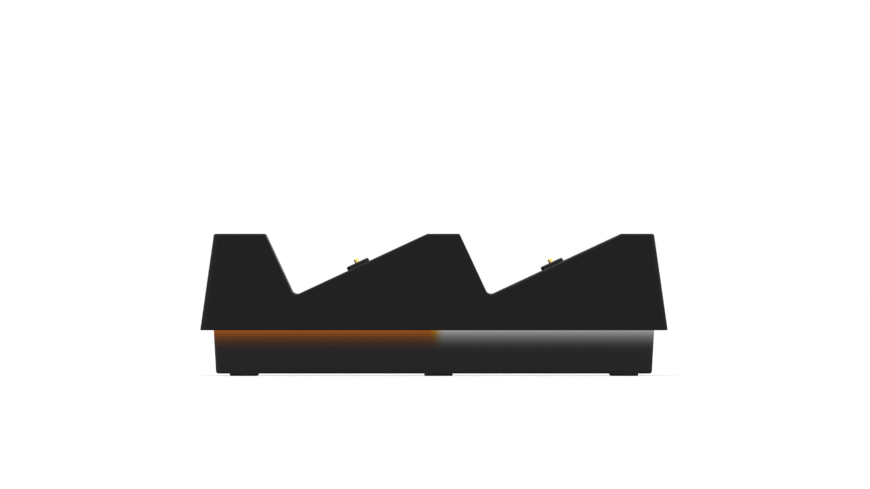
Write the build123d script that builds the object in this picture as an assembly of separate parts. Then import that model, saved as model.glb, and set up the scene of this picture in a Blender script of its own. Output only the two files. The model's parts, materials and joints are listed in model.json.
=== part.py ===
from build123d import *
import os
from math import cos, radians, sin, tan

# Charging dock with two sawtooth cradles, in millimetres.
# +X runs along the dock, +Y to its back and +Z up. The origin is on the table, under the middle.
# A device lies on each ramp against the stop wall, and three sprung pins in the ramp charge it.

# Outer form
TOP_DEPTH = 56.5
LEFT_LAND = 21.6
CRADLE_WIDTH = 68.4
LAND = 13.6
RAMP_ANGLE = 25.0
SEAT_RADIUS = 2.5
UPPER_HEIGHT = 40.7
FLARE = 8.04
OVERHANG = 5.65
BASE_HEIGHT = 18.3
BASE_DRAFT = 3.05
CORNER_RADIUS = 2.5
TOP_EDGE_RADIUS = 1.0
RIM_EDGE_RADIUS = 0.4
BASE_EDGE_RADIUS = 1.2
WALL = 2.0
FLOOR = 2.0
CLEARANCE = 0.3

# Rubber feet, each covering a housing screw
FOOT_RADIUS = 6.0
FOOT_THICK = 2.0
FOOT_PROUD = 1.0
FOOT_EDGE = 0.3
FOOT_INSET_X = 11.7
FOOT_INSET_Y = 8.4
FOOT_FIT = 0.2
MIDDLE_X = 1.9

# Housing screws, the posts they stand in and the bosses they bite
SCREW_RADIUS = 1.45
SCREW_LENGTH = 12.0
SCREW_HEAD_RADIUS = 2.8
SCREW_HEAD_HEIGHT = 2.0
SCREW_HEAD_EDGE = 0.5
SCREW_DRIVE_WIDTH = 0.7
SCREW_DRIVE_DEPTH = 0.8
SCREW_FIT = 0.15
THREAD_FIT = 0.05
PILOT_SPARE = 1.5
BOSS_RADIUS = 3.5
BOSS_FIT = 0.1
BOSS_SOCKET_DEPTH = 1.5
POST_WALL = 1.2
POST_SHELF = 2.5
POST_RISE = 4.7
RIB_THICK = 1.2

# Light guides, one round each half of the rim, and the boards that light them
GUIDE_RECESS = 1.5
GUIDE_THICK = 2.0
GUIDE_RIB = 1.6
LED_STANDOFF = 1.0
LED_BOARD_THICK = 1.2
LED_BOARD_WIDTH = 5.0
LED_LENGTH = 3.0
LED_DEPTH = 1.8
LED_HEIGHT = 0.9
LED_PITCH = 14.0
CLAMP_REACH = 3.0
CLAMP_HEIGHT = 8.0
CLAMP_PITCH = 28.0
CLAMP_COUNT = 3

# Contact block in each ramp: carrier, pins, springs, board and screws
CONTACT_UP_RAMP = 30.0
PLINTH_WIDTH = 10.0
PLINTH_LENGTH = 28.0
PLINTH_RISE = 1.6
PLINTH_CORNER = 2.0
PLINTH_EDGE = 0.6
WINDOW_FIT = 0.15
WINDOW_EDGE = 0.3
CARRIER_DEPTH = 8.0
EAR_THICK = 2.0
EAR_LENGTH = 8.0
PIN_COUNT = 3
PIN_PITCH = 8.0
PIN_RADIUS = 1.0
PIN_PROUD = 1.8
PIN_NOSE = 3.1
PIN_DOME = 0.7
PIN_FIT = 0.05
PIN_FLANGE_RADIUS = 1.7
PIN_FLANGE_THICK = 0.8
PIN_WELL_FIT = 0.25
PIN_TAIL_RADIUS = 0.8
PIN_TAIL_LENGTH = 1.5
PIN_STOP_GAP = 0.05
SPRING_RADIUS = 1.3
SPRING_WIRE = 0.4
SPRING_TURNS = 4
SPRING_GAP = 0.05
CONTACT_BOARD_THICK = 1.6
CONTACT_BOARD_MARGIN = 1.0
CONTACT_SCREW_RADIUS = 0.9
CONTACT_SCREW_LENGTH = 7.0
CONTACT_SCREW_HEAD_RADIUS = 1.9
CONTACT_SCREW_HEAD_HEIGHT = 1.3
CONTACT_BOSS_RADIUS = 2.6

# Main board in the base, the parts on it and the supply socket
BOARD_THICK = 1.6
BOARD_STANDOFF = 4.0
BOARD_SIDE_MARGIN = 9.0
BOARD_WALL_GAP = 1.2
BOARD_CORNER = 1.5
BOARD_SCREW_INSET = 4.0
BOARD_SCREW_RADIUS = 1.0
BOARD_SCREW_LENGTH = 5.0
BOARD_SCREW_HEAD_RADIUS = 2.0
BOARD_SCREW_HEAD_HEIGHT = 1.4
STANDOFF_RADIUS = 2.8
POST_CLEARANCE = 0.6
PART_SPACING = 12.0
CHARGE_CHIP_SIZE = (5.0, 4.0, 1.5)
CONTROLLER_SIZE = (7.0, 7.0, 1.2)
INDUCTOR_SIZE = (6.0, 6.0, 3.0)
INDUCTOR_CORNER = 1.2
CAPACITOR_RADIUS = 2.5
CAPACITOR_HEIGHT = 5.4
CAPACITOR_EDGE = 0.4
INLET_X = 32.0
INLET_WIDTH = 7.5
INLET_HEIGHT = 2.6
INLET_LENGTH = 5.6
INLET_SHEET = 0.3
INLET_CORNER = 0.9
INLET_BACK = 1.2
INLET_POCKET_WIDTH = 13.0
INLET_POCKET_HEIGHT = 8.4
INLET_POCKET_CORNER = 1.5
INLET_POCKET_DEPTH = 0.9
TONGUE_WIDTH = 3.8
TONGUE_THICK = 0.6
TONGUE_RECESS = 0.9

# Plug housings and leads
HEADER_WIDTH = 5.0
HEADER_LENGTH = 10.0
HEADER_HEIGHT = 4.6
CONTACT_HEADER_HEIGHT = 3.4
HEADER_WALL = 0.7
PLUG_PROUD = 1.0
LEAD_WIDTH = 3.9
LEAD_THICK = 1.3
LEAD_DROP = 10.0
LEAD_BEND_SHARE = 0.45
LED_LEAD_WIDTH = 2.6
LED_LEAD_OFFSET = 7.0
LED_LEAD_REACH = 9.0
LED_LEAD_BEND = 6.0

# Places worked out from the sizes above
SIDES = ("left", "right")
SIN_RAMP = sin(radians(RAMP_ANGLE))
COS_RAMP = cos(radians(RAMP_ANGLE))
LEAN = tan(radians(FLARE))
DRAFT = tan(radians(BASE_DRAFT))
SLANT_WALL = WALL / cos(radians(FLARE))
DRAFT_WALL = WALL / cos(radians(BASE_DRAFT))
CRADLE_PITCH = CRADLE_WIDTH + LAND
TOP_WIDTH = LEFT_LAND + 2 * CRADLE_PITCH
RIM_WIDTH = TOP_WIDTH + 2 * UPPER_HEIGHT * LEAN
RIM_DEPTH = TOP_DEPTH + 2 * UPPER_HEIGHT * LEAN
BASE_FOOT_WIDTH = RIM_WIDTH - 2 * OVERHANG - 2 * BASE_HEIGHT * DRAFT
BASE_FOOT_DEPTH = RIM_DEPTH - 2 * OVERHANG - 2 * BASE_HEIGHT * DRAFT
BASE_Z = FOOT_PROUD
FLOOR_Z = BASE_Z + FLOOR
RIM_Z = BASE_Z + BASE_HEIGHT
TOP_Z = RIM_Z + UPPER_HEIGHT
GUIDE_Z = RIM_Z + GUIDE_RECESS
GUIDE_TOP_Z = GUIDE_Z + GUIDE_THICK
LED_BOARD_Z = GUIDE_TOP_Z + LED_STANDOFF
CLAMP_Z = LED_BOARD_Z + LED_BOARD_THICK
SPLIT_GAP = RIB_THICK + 2 * CLEARANCE
POST_TOP_Z = RIM_Z + POST_RISE
BOSS_Z = POST_TOP_Z - BOSS_SOCKET_DEPTH
SHELF_Z = BOSS_Z - POST_SHELF
POST_RADIUS = BOSS_RADIUS + BOSS_FIT + POST_WALL
FOOT_X = BASE_FOOT_WIDTH / 2 - FOOT_INSET_X
FOOT_Y = BASE_FOOT_DEPTH / 2 - FOOT_INSET_Y
FOOT_PLACES = {
    f"{row}_{column}": (x, y)
    for row, y in (("front", -FOOT_Y), ("rear", FOOT_Y))
    for column, x in (("left", -FOOT_X), ("middle", MIDDLE_X), ("right", FOOT_X))
}
PIN_SHOULDER = PLINTH_RISE - PIN_NOSE
EAR_Y = PLINTH_LENGTH / 2 + EAR_LENGTH / 2
CONTACT_BOARD_FOOT = CARRIER_DEPTH + CONTACT_BOARD_THICK
CONTACT_HEADER_FOOT = CONTACT_BOARD_FOOT + CONTACT_HEADER_HEIGHT
BOARD_Z = FLOOR_Z + BOARD_STANDOFF
BOARD_TOP_Z = BOARD_Z + BOARD_THICK
HEADER_TOP_Z = BOARD_TOP_Z + HEADER_HEIGHT
INLET_Z = BOARD_TOP_Z + INLET_HEIGHT / 2

STANDING = (Align.CENTER, Align.CENTER, Align.MIN)
HANGING = (Align.CENTER, Align.CENTER, Align.MAX)


# Shared geometry


def upper_inner_half(size, z):
    """Half the clear width or depth inside the upper housing's walls at height z."""
    return size / 2 - (z - RIM_Z) * LEAN - SLANT_WALL


def base_half(size, z):
    """Half the width or depth over the base's walls at height z."""
    return size / 2 + (z - BASE_Z) * DRAFT


def frustum(width, depth, z, height, lean):
    """Four-sided block on height z whose walls lean outwards by lean per millimetre of rise."""
    grow = 2 * height * lean
    foot_outline = Pos(Z=z) * Rectangle(width, depth)
    head_outline = Pos(Z=z + height) * Rectangle(width + grow, depth + grow)
    return loft([foot_outline, head_outline], ruled=True)


def slanted_edges(block):
    """The four edges between the leaning walls of a frustum."""
    return block.edges().filter_by(lambda edge: abs(edge.tangent_at(0.5).Z) > 0.5)


def ramp_frame(side):
    """Place of a cradle's inner corner: X climbs the ramp, Y runs to the back, Z leaves the ramp."""
    left = -TOP_WIDTH / 2 + LEFT_LAND + SIDES.index(side) * CRADLE_PITCH
    corner = (left + CRADLE_WIDTH * SIN_RAMP**2, 0, TOP_Z - CRADLE_WIDTH * SIN_RAMP * COS_RAMP)
    return Plane(corner, x_dir=(COS_RAMP, 0, SIN_RAMP), z_dir=(-SIN_RAMP, 0, COS_RAMP)).location


def contact_frame(side):
    """Place of a contact block: the same directions, on the ramp's surface at the block's middle."""
    return ramp_frame(side) * Pos(X=CONTACT_UP_RAMP)


def pan_screw(radius, length, head_radius, head_height):
    """Screw that points up, with its head hanging below the origin and a cross cut into the head."""
    head = Cylinder(head_radius, head_height, align=HANGING)
    head = chamfer(head.edges().sort_by(Axis.Z)[0], SCREW_HEAD_EDGE)
    slot = Box(head_radius, SCREW_DRIVE_WIDTH, 2 * SCREW_DRIVE_DEPTH)
    head -= [Pos(Z=-head_height) * Rot(Z=turn) * slot for turn in (0, 90)]
    return head + Cylinder(radius, length, align=STANDING)


def plug_housing(height):
    """Nylon socket standing on the origin, with the lead's plug pushed in and left a little proud."""
    socket = Box(HEADER_WIDTH, HEADER_LENGTH, height - PLUG_PROUD, align=STANDING)
    plug = Box(HEADER_WIDTH - 2 * HEADER_WALL, HEADER_LENGTH - 2 * HEADER_WALL, height, align=STANDING)
    return socket + plug


# Upper housing


def cradle_cut(side, grow):
    """The right-angled notch between ramp and stop wall, with both seats moved back by grow."""
    reach = CRADLE_WIDTH + grow
    block = Box(reach, 2 * RIM_DEPTH, reach, align=(Align.MIN, Align.CENTER, Align.MIN))
    inner_corner = block.edges().filter_by(Axis.Y).sort_by(lambda e: e.center().X + e.center().Z)[0]
    return ramp_frame(side) * Pos(-grow, 0, -grow) * fillet(inner_corner, SEAT_RADIUS + grow)


def outer_block():
    """Outside of the upper housing, solid: flared walls, two cradles and rounded edges."""
    block = frustum(RIM_WIDTH, RIM_DEPTH, RIM_Z, UPPER_HEIGHT, -LEAN)
    block = fillet(slanted_edges(block), CORNER_RADIUS)
    block = fillet(block.faces().sort_by(Axis.Z)[0].edges(), RIM_EDGE_RADIUS)
    block -= [cradle_cut(side, 0) for side in SIDES]

    def is_top_or_cradle_edge(edge):
        middle = edge.center()
        on_top = abs(middle.Z - TOP_Z) < 0.01
        across = abs(edge.tangent_at(0.5).Y) > 0.9
        between_ends = abs(middle.X) < TOP_WIDTH / 2 - CORNER_RADIUS
        return on_top or (between_ends and not across and middle.Z > CLAMP_Z)

    return fillet(block.edges().filter_by(is_top_or_cradle_edge), TOP_EDGE_RADIUS)


def inner_block(inset):
    """The upper housing's form with every wall moved in by inset, flat-faced and solid."""
    slant = 2 * inset / cos(radians(FLARE))
    block = frustum(RIM_WIDTH - slant, RIM_DEPTH - slant, RIM_Z, UPPER_HEIGHT - inset, -LEAN)
    return block - [cradle_cut(side, inset) for side in SIDES]


def screw_bosses():
    """Tall bosses over the posts, each tied to the nearer long wall by a gusset."""
    pieces = []
    gusset_height = TOP_Z - CLAMP_Z
    for x, y in FOOT_PLACES.values():
        pieces.append(Pos(x, y, BOSS_Z) * Cylinder(BOSS_RADIUS, TOP_Z - BOSS_Z, align=STANDING))
        outward = Align.MIN if y > 0 else Align.MAX
        gusset = Box(RIB_THICK, RIM_DEPTH / 2, gusset_height, align=(Align.CENTER, outward, Align.MIN))
        pieces.append(Pos(x, y, CLAMP_Z) * gusset)
    return pieces


def clamp_ribs():
    """Short ribs on all four walls that hold the light boards down on the guides."""
    half_width = upper_inner_half(RIM_WIDTH, CLAMP_Z)
    half_depth = upper_inner_half(RIM_DEPTH, CLAMP_Z)
    long_wall_rib = Box(RIB_THICK, 2 * CLAMP_REACH, CLAMP_HEIGHT, align=STANDING)
    end_wall_rib = Box(2 * CLAMP_REACH, RIB_THICK, CLAMP_HEIGHT, align=STANDING)
    steps = [sign * (count + 0.5) * CLAMP_PITCH for sign in (-1, 1) for count in range(CLAMP_COUNT)]
    pieces = []
    for y in (-half_depth, half_depth):
        pieces += [Pos(MIDDLE_X + x, y, CLAMP_Z) * long_wall_rib for x in steps]
    for x in (-half_width, half_width):
        pieces += [Pos(x, y, CLAMP_Z) * end_wall_rib for y in (-CLAMP_PITCH / 2, CLAMP_PITCH / 2)]
    return pieces


def light_dividers():
    """Thin walls that keep one half's light out of the other, front and back."""
    inner_edge = rim_halves(CLAMP_Z, CLEARANCE + LED_BOARD_WIDTH)[1]
    height = CLAMP_Z + RIB_THICK - GUIDE_Z
    wall = Box(RIB_THICK, RIM_DEPTH / 2, height, align=(Align.CENTER, Align.MIN, Align.MIN))
    rear = Pos(MIDDLE_X, inner_edge, GUIDE_Z) * wall
    return [rear, mirror(rear, Plane.XZ)]


def window_outline(grow):
    """Outline of the opening for a carrier, widened all round by grow."""
    gap = WINDOW_FIT + grow
    return RectangleRounded(PLINTH_WIDTH + 2 * gap, PLINTH_LENGTH + 2 * gap, PLINTH_CORNER + gap)


def contact_window():
    """What is cut out of a ramp: the bevelled opening for the carrier and two screw pilots beside it."""
    opening = extrude(Pos(Z=-2 * WALL) * window_outline(0), 4 * WALL)
    bevel_foot = Pos(Z=-WINDOW_EDGE) * window_outline(0)
    bevel_head = Pos(Z=WINDOW_EDGE) * window_outline(2 * WINDOW_EDGE)
    pilot = Cylinder(CONTACT_SCREW_RADIUS + THREAD_FIT, CONTACT_SCREW_LENGTH + CLEARANCE, align=STANDING)
    pilots = [Pos(0, y, -CONTACT_BOARD_FOOT) * pilot for y in (-EAR_Y, EAR_Y)]
    return [opening, loft([bevel_foot, bevel_head], ruled=True), *pilots]


def contact_bosses():
    """Two bosses under a ramp, one for each ear of the carrier."""
    boss = Cylinder(CONTACT_BOSS_RADIUS, CARRIER_DEPTH - EAR_THICK - WALL / 2, align=STANDING)
    return [Pos(0, y, EAR_THICK - CARRIER_DEPTH) * boss for y in (-EAR_Y, EAR_Y)]


def upper_housing():
    """Moulded upper shell with bosses, gussets, clamp ribs, light dividers and contact windows."""
    shell = outer_block() - inner_block(WALL)
    inside = Part() + (screw_bosses() + clamp_ribs() + light_dividers())
    shell += inside & inner_block(WALL / 2)
    shell += [contact_frame(side) * boss for side in SIDES for boss in contact_bosses()]
    pilot_depth = SHELF_Z + SCREW_LENGTH + PILOT_SPARE - BOSS_Z
    pilot = Cylinder(SCREW_RADIUS + THREAD_FIT, pilot_depth, align=STANDING)
    cuts = [Pos(x, y, BOSS_Z) * pilot for x, y in FOOT_PLACES.values()]
    cuts += [contact_frame(side) * cut for side in SIDES for cut in contact_window()]
    return shell - cuts


# Base housing, feet and the screws between them


def board_edges():
    """Half the main board's depth, and its left and right edges."""
    half_depth = base_half(BASE_FOOT_DEPTH, BOARD_Z) - DRAFT_WALL - BOARD_WALL_GAP
    return half_depth, header_x("left") - BOARD_SIDE_MARGIN, header_x("right") + BOARD_SIDE_MARGIN


def board_screw_places():
    """Centres of the main board's four screws."""
    half_depth, left, right = board_edges()
    return [
        (x, y)
        for x in (left + BOARD_SCREW_INSET, right - BOARD_SCREW_INSET)
        for y in (BOARD_SCREW_INSET - half_depth, half_depth - BOARD_SCREW_INSET)
    ]


def inlet_mouth():
    """Plane of the supply socket's mouth, on the floor of the pocket round it, facing backwards."""
    mouth_y = base_half(BASE_FOOT_DEPTH, INLET_Z) - INLET_POCKET_DEPTH
    return Plane((INLET_X, mouth_y, INLET_Z), x_dir=(-1, 0, 0), z_dir=(0, 1, 0))


def inlet_cuts():
    """Pocket in the base's rear wall and the hole for the supply socket in its floor."""
    pocket = RectangleRounded(INLET_POCKET_WIDTH, INLET_POCKET_HEIGHT, INLET_POCKET_CORNER)
    hole = RectangleRounded(INLET_WIDTH + 2 * CLEARANCE, INLET_HEIGHT + 2 * CLEARANCE, INLET_CORNER)
    return [extrude(inlet_mouth() * pocket, 2 * WALL), extrude(inlet_mouth() * hole, -2 * WALL)]


def post_bores():
    """The four bores of a screw post, from the foot recess up, as height, length and radius."""
    recess = FOOT_THICK - FOOT_PROUD
    return [
        (BASE_Z, recess, FOOT_RADIUS + FOOT_FIT),
        (BASE_Z + recess, SHELF_Z - BASE_Z - recess, SCREW_HEAD_RADIUS + CLEARANCE),
        (SHELF_Z, POST_SHELF, SCREW_RADIUS + SCREW_FIT),
        (BOSS_Z, BOSS_SOCKET_DEPTH, BOSS_RADIUS + BOSS_FIT),
    ]


def base_housing():
    """Moulded base tray with screw posts, board standoffs, foot recesses and the inlet pocket."""
    tray = frustum(BASE_FOOT_WIDTH, BASE_FOOT_DEPTH, BASE_Z, GUIDE_Z - BASE_Z, DRAFT)
    tray = fillet(slanted_edges(tray), CORNER_RADIUS)
    tray = fillet(tray.faces().sort_by(Axis.Z)[0].edges(), BASE_EDGE_RADIUS)
    inner_width = 2 * (base_half(BASE_FOOT_WIDTH, FLOOR_Z) - DRAFT_WALL)
    inner_depth = 2 * (base_half(BASE_FOOT_DEPTH, FLOOR_Z) - DRAFT_WALL)
    tray -= frustum(inner_width, inner_depth, FLOOR_Z, GUIDE_Z - FLOOR_Z, DRAFT)

    root_z = BASE_Z + FLOOR / 2
    post = Cylinder(POST_RADIUS, POST_TOP_Z - root_z, align=STANDING)
    standoff = Cylinder(STANDOFF_RADIUS, BOARD_Z - root_z, align=STANDING)
    tray += [Pos(x, y, root_z) * post for x, y in FOOT_PLACES.values()]
    tray += [Pos(x, y, root_z) * standoff for x, y in board_screw_places()]

    pilot = Cylinder(BOARD_SCREW_RADIUS + THREAD_FIT, BOARD_STANDOFF, align=STANDING)
    cuts = inlet_cuts() + [Pos(x, y, FLOOR_Z) * pilot for x, y in board_screw_places()]
    for z, length, radius in post_bores():
        bore = Cylinder(radius, length, align=STANDING)
        cuts += [Pos(x, y, z) * bore for x, y in FOOT_PLACES.values()]
    return tray - cuts


def foot(place):
    """Round rubber pad, sunk partway into its recess."""
    x, y = FOOT_PLACES[place]
    pad = Cylinder(FOOT_RADIUS, FOOT_THICK, align=STANDING)
    return Pos(x, y, 0) * chamfer(pad.edges().sort_by(Axis.Z)[0], FOOT_EDGE)


def housing_screws():
    """Six screws that draw the upper housing's bosses down into the posts."""
    screw = pan_screw(SCREW_RADIUS, SCREW_LENGTH, SCREW_HEAD_RADIUS, SCREW_HEAD_HEIGHT)
    return Compound([Pos(x, y, SHELF_Z) * screw for x, y in FOOT_PLACES.values()])


# Lighting under the rim


def rim_halves(z, inset):
    """Half sizes of the space inside the upper housing at height z, less an inset."""
    return [upper_inner_half(size, z) - inset for size in (RIM_WIDTH, RIM_DEPTH)]


def base_rim_halves(inset):
    """Half sizes over the base's top edge, less an inset."""
    return [base_half(size, GUIDE_Z) - inset for size in (BASE_FOOT_WIDTH, BASE_FOOT_DEPTH)]


def half_frame(side, outer, inner, z, thick):
    """Half of a rectangular frame on height z, cut at the middle; outer and inner are half sizes."""
    ring = RectangleRounded(2 * outer[0], 2 * outer[1], CORNER_RADIUS)
    ring -= Rectangle(2 * inner[0], 2 * inner[1])
    sign, outward = (-1, Align.MAX) if side == "left" else (1, Align.MIN)
    half = Box(RIM_WIDTH, RIM_DEPTH, thick, align=(outward, Align.CENTER, Align.MIN))
    return extrude(Pos(Z=z) * ring, thick) & Pos(MIDDLE_X + sign * SPLIT_GAP / 2, 0, z) * half


def light_guide(side):
    """Milky strip lying on the base's top edge, with an inner rib that carries the light board."""
    inner = base_rim_halves(DRAFT_WALL)
    strip = half_frame(side, rim_halves(GUIDE_TOP_Z, CLEARANCE), inner, GUIDE_Z, GUIDE_THICK)
    rib_outer = base_rim_halves(DRAFT_WALL - GUIDE_RIB)
    return strip + half_frame(side, rib_outer, inner, GUIDE_TOP_Z, LED_STANDOFF)


def led_board(side):
    """Narrow circuit board over the guide, pressed down by the clamp ribs."""
    outer = rim_halves(CLAMP_Z, CLEARANCE)
    inner = rim_halves(CLAMP_Z, CLEARANCE + LED_BOARD_WIDTH)
    return half_frame(side, outer, inner, LED_BOARD_Z, LED_BOARD_THICK)


def leds(side):
    """Lamps under the light board, in rows along the front, the back and one end."""
    strip = zip(rim_halves(GUIDE_TOP_Z, CLEARANCE), base_rim_halves(0))
    row_x, row_y = [(outer + inner) / 2 for outer, inner in strip]
    sign = -1 if side == "left" else 1
    long_wall_lamp = Box(LED_LENGTH, LED_DEPTH, LED_HEIGHT, align=HANGING)
    end_wall_lamp = Box(LED_DEPTH, LED_LENGTH, LED_HEIGHT, align=HANGING)
    lamps = []
    for count in range(int((row_x - sign * MIDDLE_X) / LED_PITCH)):
        x = MIDDLE_X + sign * (count + 0.5) * LED_PITCH
        lamps += [Pos(x, y, LED_BOARD_Z) * long_wall_lamp for y in (-row_y, row_y)]
    lamps += [Pos(sign * row_x, y, LED_BOARD_Z) * end_wall_lamp for y in (-LED_PITCH, 0, LED_PITCH)]
    return Compound(lamps)


def led_lead(side):
    """Two-core lead from the light board's inner edge down to the main board, inwards of its plug housing."""
    x = header_x(side) + (LED_LEAD_OFFSET if side == "left" else -LED_LEAD_OFFSET)
    edge_y = -rim_halves(CLAMP_Z, CLEARANCE + LED_BOARD_WIDTH)[1]
    turn_y = edge_y + LED_LEAD_REACH
    level = LED_BOARD_Z + LED_BOARD_THICK / 2
    points = [(x, edge_y, level), (x, turn_y, level), (x, turn_y, BOARD_TOP_Z)]
    route = FilletPolyline(*points, radius=LED_LEAD_BEND)
    section = Plane(route @ 0, x_dir=(1, 0, 0), z_dir=route % 0) * SlotOverall(LED_LEAD_WIDTH, LEAD_THICK)
    return sweep(section, route)


# Contact blocks


def pin_places():
    """Distances of the pins from the middle of their block."""
    return [(count - (PIN_COUNT - 1) / 2) * PIN_PITCH for count in range(PIN_COUNT)]


def ear_holes():
    """Holes for the two contact screws, through the carrier's ears and the board under them."""
    hole = Cylinder(CONTACT_SCREW_RADIUS + SCREW_FIT, 2 * CARRIER_DEPTH)
    return [Pos(0, y, -CARRIER_DEPTH) * hole for y in (-EAR_Y, EAR_Y)]


def contact_carrier(side):
    """Insulating block that stands out of the ramp, with two ears below and a stepped bore per pin."""
    plinth = RectangleRounded(PLINTH_WIDTH, PLINTH_LENGTH, PLINTH_CORNER)
    body = extrude(Pos(Z=-CARRIER_DEPTH) * plinth, CARRIER_DEPTH + PLINTH_RISE)
    body = fillet(body.faces().sort_by(Axis.Z)[-1].edges(), PLINTH_EDGE)
    flange = RectangleRounded(PLINTH_WIDTH, PLINTH_LENGTH + 2 * EAR_LENGTH, PLINTH_CORNER)
    body += extrude(Pos(Z=-CARRIER_DEPTH) * flange, EAR_THICK)
    bore = Cylinder(PIN_RADIUS + PIN_FIT, PIN_NOSE, align=HANGING)
    well = Cylinder(PIN_FLANGE_RADIUS + PIN_WELL_FIT, CARRIER_DEPTH + PIN_SHOULDER, align=STANDING)
    cuts = ear_holes()
    cuts += [Pos(0, y, PLINTH_RISE) * bore for y in pin_places()]
    cuts += [Pos(0, y, -CARRIER_DEPTH) * well for y in pin_places()]
    return contact_frame(side) * (body - cuts)


def contact_pin(side, y):
    """Plated plunger with a domed tip, a flange that stops it and a tail inside its spring."""
    tip = PLINTH_RISE + PIN_PROUD
    stop = PIN_SHOULDER - PIN_STOP_GAP
    pin = Pos(Z=stop) * Cylinder(PIN_RADIUS, tip - stop, align=STANDING)
    pin = fillet(pin.edges().sort_by(Axis.Z)[-1], PIN_DOME)
    pin += Pos(Z=stop) * Cylinder(PIN_FLANGE_RADIUS, PIN_FLANGE_THICK, align=HANGING)
    pin += Pos(Z=stop - PIN_FLANGE_THICK) * Cylinder(PIN_TAIL_RADIUS, PIN_TAIL_LENGTH, align=HANGING)
    return contact_frame(side) * Pos(Y=y) * pin


def pin_spring(side, y):
    """Coil spring between a pin's flange and the contact board."""
    top = PIN_SHOULDER - PIN_STOP_GAP - PIN_FLANGE_THICK - SPRING_GAP - SPRING_WIRE / 2
    bottom = SPRING_GAP + SPRING_WIRE / 2 - CARRIER_DEPTH
    coil = Helix((top - bottom) / SPRING_TURNS, top - bottom, SPRING_RADIUS)
    wire = Plane(coil @ 0, x_dir=(1, 0, 0), z_dir=coil % 0) * Rectangle(SPRING_WIRE, SPRING_WIRE)
    return contact_frame(side) * Pos(0, y, bottom) * sweep(wire, coil, is_frenet=True)


def contact_board(side):
    """Board that closes the carrier from below and feeds the springs."""
    width = PLINTH_WIDTH + 2 * CONTACT_BOARD_MARGIN
    length = PLINTH_LENGTH + 2 * EAR_LENGTH + 2 * CONTACT_BOARD_MARGIN
    plate = extrude(
        Pos(Z=-CONTACT_BOARD_FOOT) * RectangleRounded(width, length, PLINTH_CORNER), CONTACT_BOARD_THICK
    )
    return contact_frame(side) * (plate - ear_holes())


def contact_screws():
    """Four screws up through contact boards and carriers into the bosses beside the windows."""
    screw = pan_screw(
        CONTACT_SCREW_RADIUS, CONTACT_SCREW_LENGTH, CONTACT_SCREW_HEAD_RADIUS, CONTACT_SCREW_HEAD_HEIGHT
    )
    pair = [Pos(0, y, -CONTACT_BOARD_FOOT) * screw for y in (-EAR_Y, EAR_Y)]
    return Compound([contact_frame(side) * one for side in SIDES for one in pair])


def contact_header(side):
    """Plug housing hanging under a contact board."""
    return contact_frame(side) * Pos(Z=-CONTACT_BOARD_FOOT) * Rot(X=180) * plug_housing(CONTACT_HEADER_HEIGHT)


# Leads and main board


def lead_start(side):
    """Point where a harness leaves its contact header."""
    return (contact_frame(side) * Pos(Z=-CONTACT_HEADER_FOOT)).position


def header_x(side):
    """Place along the dock of the plug housing on the main board, under the lead's bend."""
    return lead_start(side).X + LEAD_DROP * SIN_RAMP


def harness(side):
    """Three-core flat lead: square out of the contact header, then straight down."""
    start = lead_start(side)
    bend_z = start.Z - LEAD_DROP * COS_RAMP
    shorter_run = min(LEAD_DROP, bend_z - HEADER_TOP_Z)
    bend_radius = LEAD_BEND_SHARE * shorter_run / tan(radians(RAMP_ANGLE / 2))
    points = [start, (header_x(side), 0, bend_z), (header_x(side), 0, HEADER_TOP_Z)]
    route = FilletPolyline(*points, radius=bend_radius)
    section = Plane(route @ 0, x_dir=(0, 1, 0), z_dir=route % 0) * SlotOverall(LEAD_WIDTH, LEAD_THICK)
    return sweep(section, route)


def board_header(side):
    """Plug housing standing on the main board."""
    return Pos(header_x(side), 0, BOARD_TOP_Z) * plug_housing(HEADER_HEIGHT)


def main_board():
    """Charging circuit board, notched round the middle posts and screwed to four standoffs."""
    half_depth, left, right = board_edges()
    outline = Pos((left + right) / 2, 0) * RectangleRounded(right - left, 2 * half_depth, BOARD_CORNER)
    radius = POST_RADIUS + POST_CLEARANCE
    notch = Circle(radius) + Rectangle(2 * radius, 2 * half_depth, align=(Align.CENTER, Align.MIN))
    outline -= Pos(MIDDLE_X, FOOT_Y) * notch
    outline -= Pos(MIDDLE_X, -FOOT_Y) * Rot(Z=180) * notch
    hole = Circle(BOARD_SCREW_RADIUS + SCREW_FIT)
    outline -= [Pos(x, y) * hole for x, y in board_screw_places()]
    return extrude(Pos(Z=BOARD_Z) * outline, BOARD_THICK)


def board_screws():
    """Four screws down through the main board into the standoffs."""
    screw = Rot(X=180) * pan_screw(
        BOARD_SCREW_RADIUS, BOARD_SCREW_LENGTH, BOARD_SCREW_HEAD_RADIUS, BOARD_SCREW_HEAD_HEIGHT
    )
    return Compound([Pos(x, y, BOARD_TOP_Z) * screw for x, y in board_screw_places()])


def beside_header(side):
    """Place along the dock one part spacing inwards from that side's plug housing."""
    return header_x(side) + (PART_SPACING if side == "left" else -PART_SPACING)


def charge_chips():
    """One charging chip for each cradle, beside its plug housing."""
    chip = Box(*CHARGE_CHIP_SIZE, align=STANDING)
    return Compound([Pos(beside_header(side), 0, BOARD_TOP_Z) * chip for side in SIDES])


def inductors():
    """One choke for each cradle, behind its charging chip."""
    width, depth, height = INDUCTOR_SIZE
    choke = extrude(RectangleRounded(width, depth, INDUCTOR_CORNER), height)
    return Compound([Pos(beside_header(side), PART_SPACING, BOARD_TOP_Z) * choke for side in SIDES])


def capacitors():
    """Three upright capacitors, one before each charging chip and one at the supply socket."""
    can = Cylinder(CAPACITOR_RADIUS, CAPACITOR_HEIGHT, align=STANDING)
    can = chamfer(can.edges().sort_by(Axis.Z)[-1], CAPACITOR_EDGE)
    places = [(beside_header(side), -PART_SPACING) for side in SIDES] + [(INLET_X, PART_SPACING)]
    return Compound([Pos(x, y, BOARD_TOP_Z) * can for x, y in places])


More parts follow.
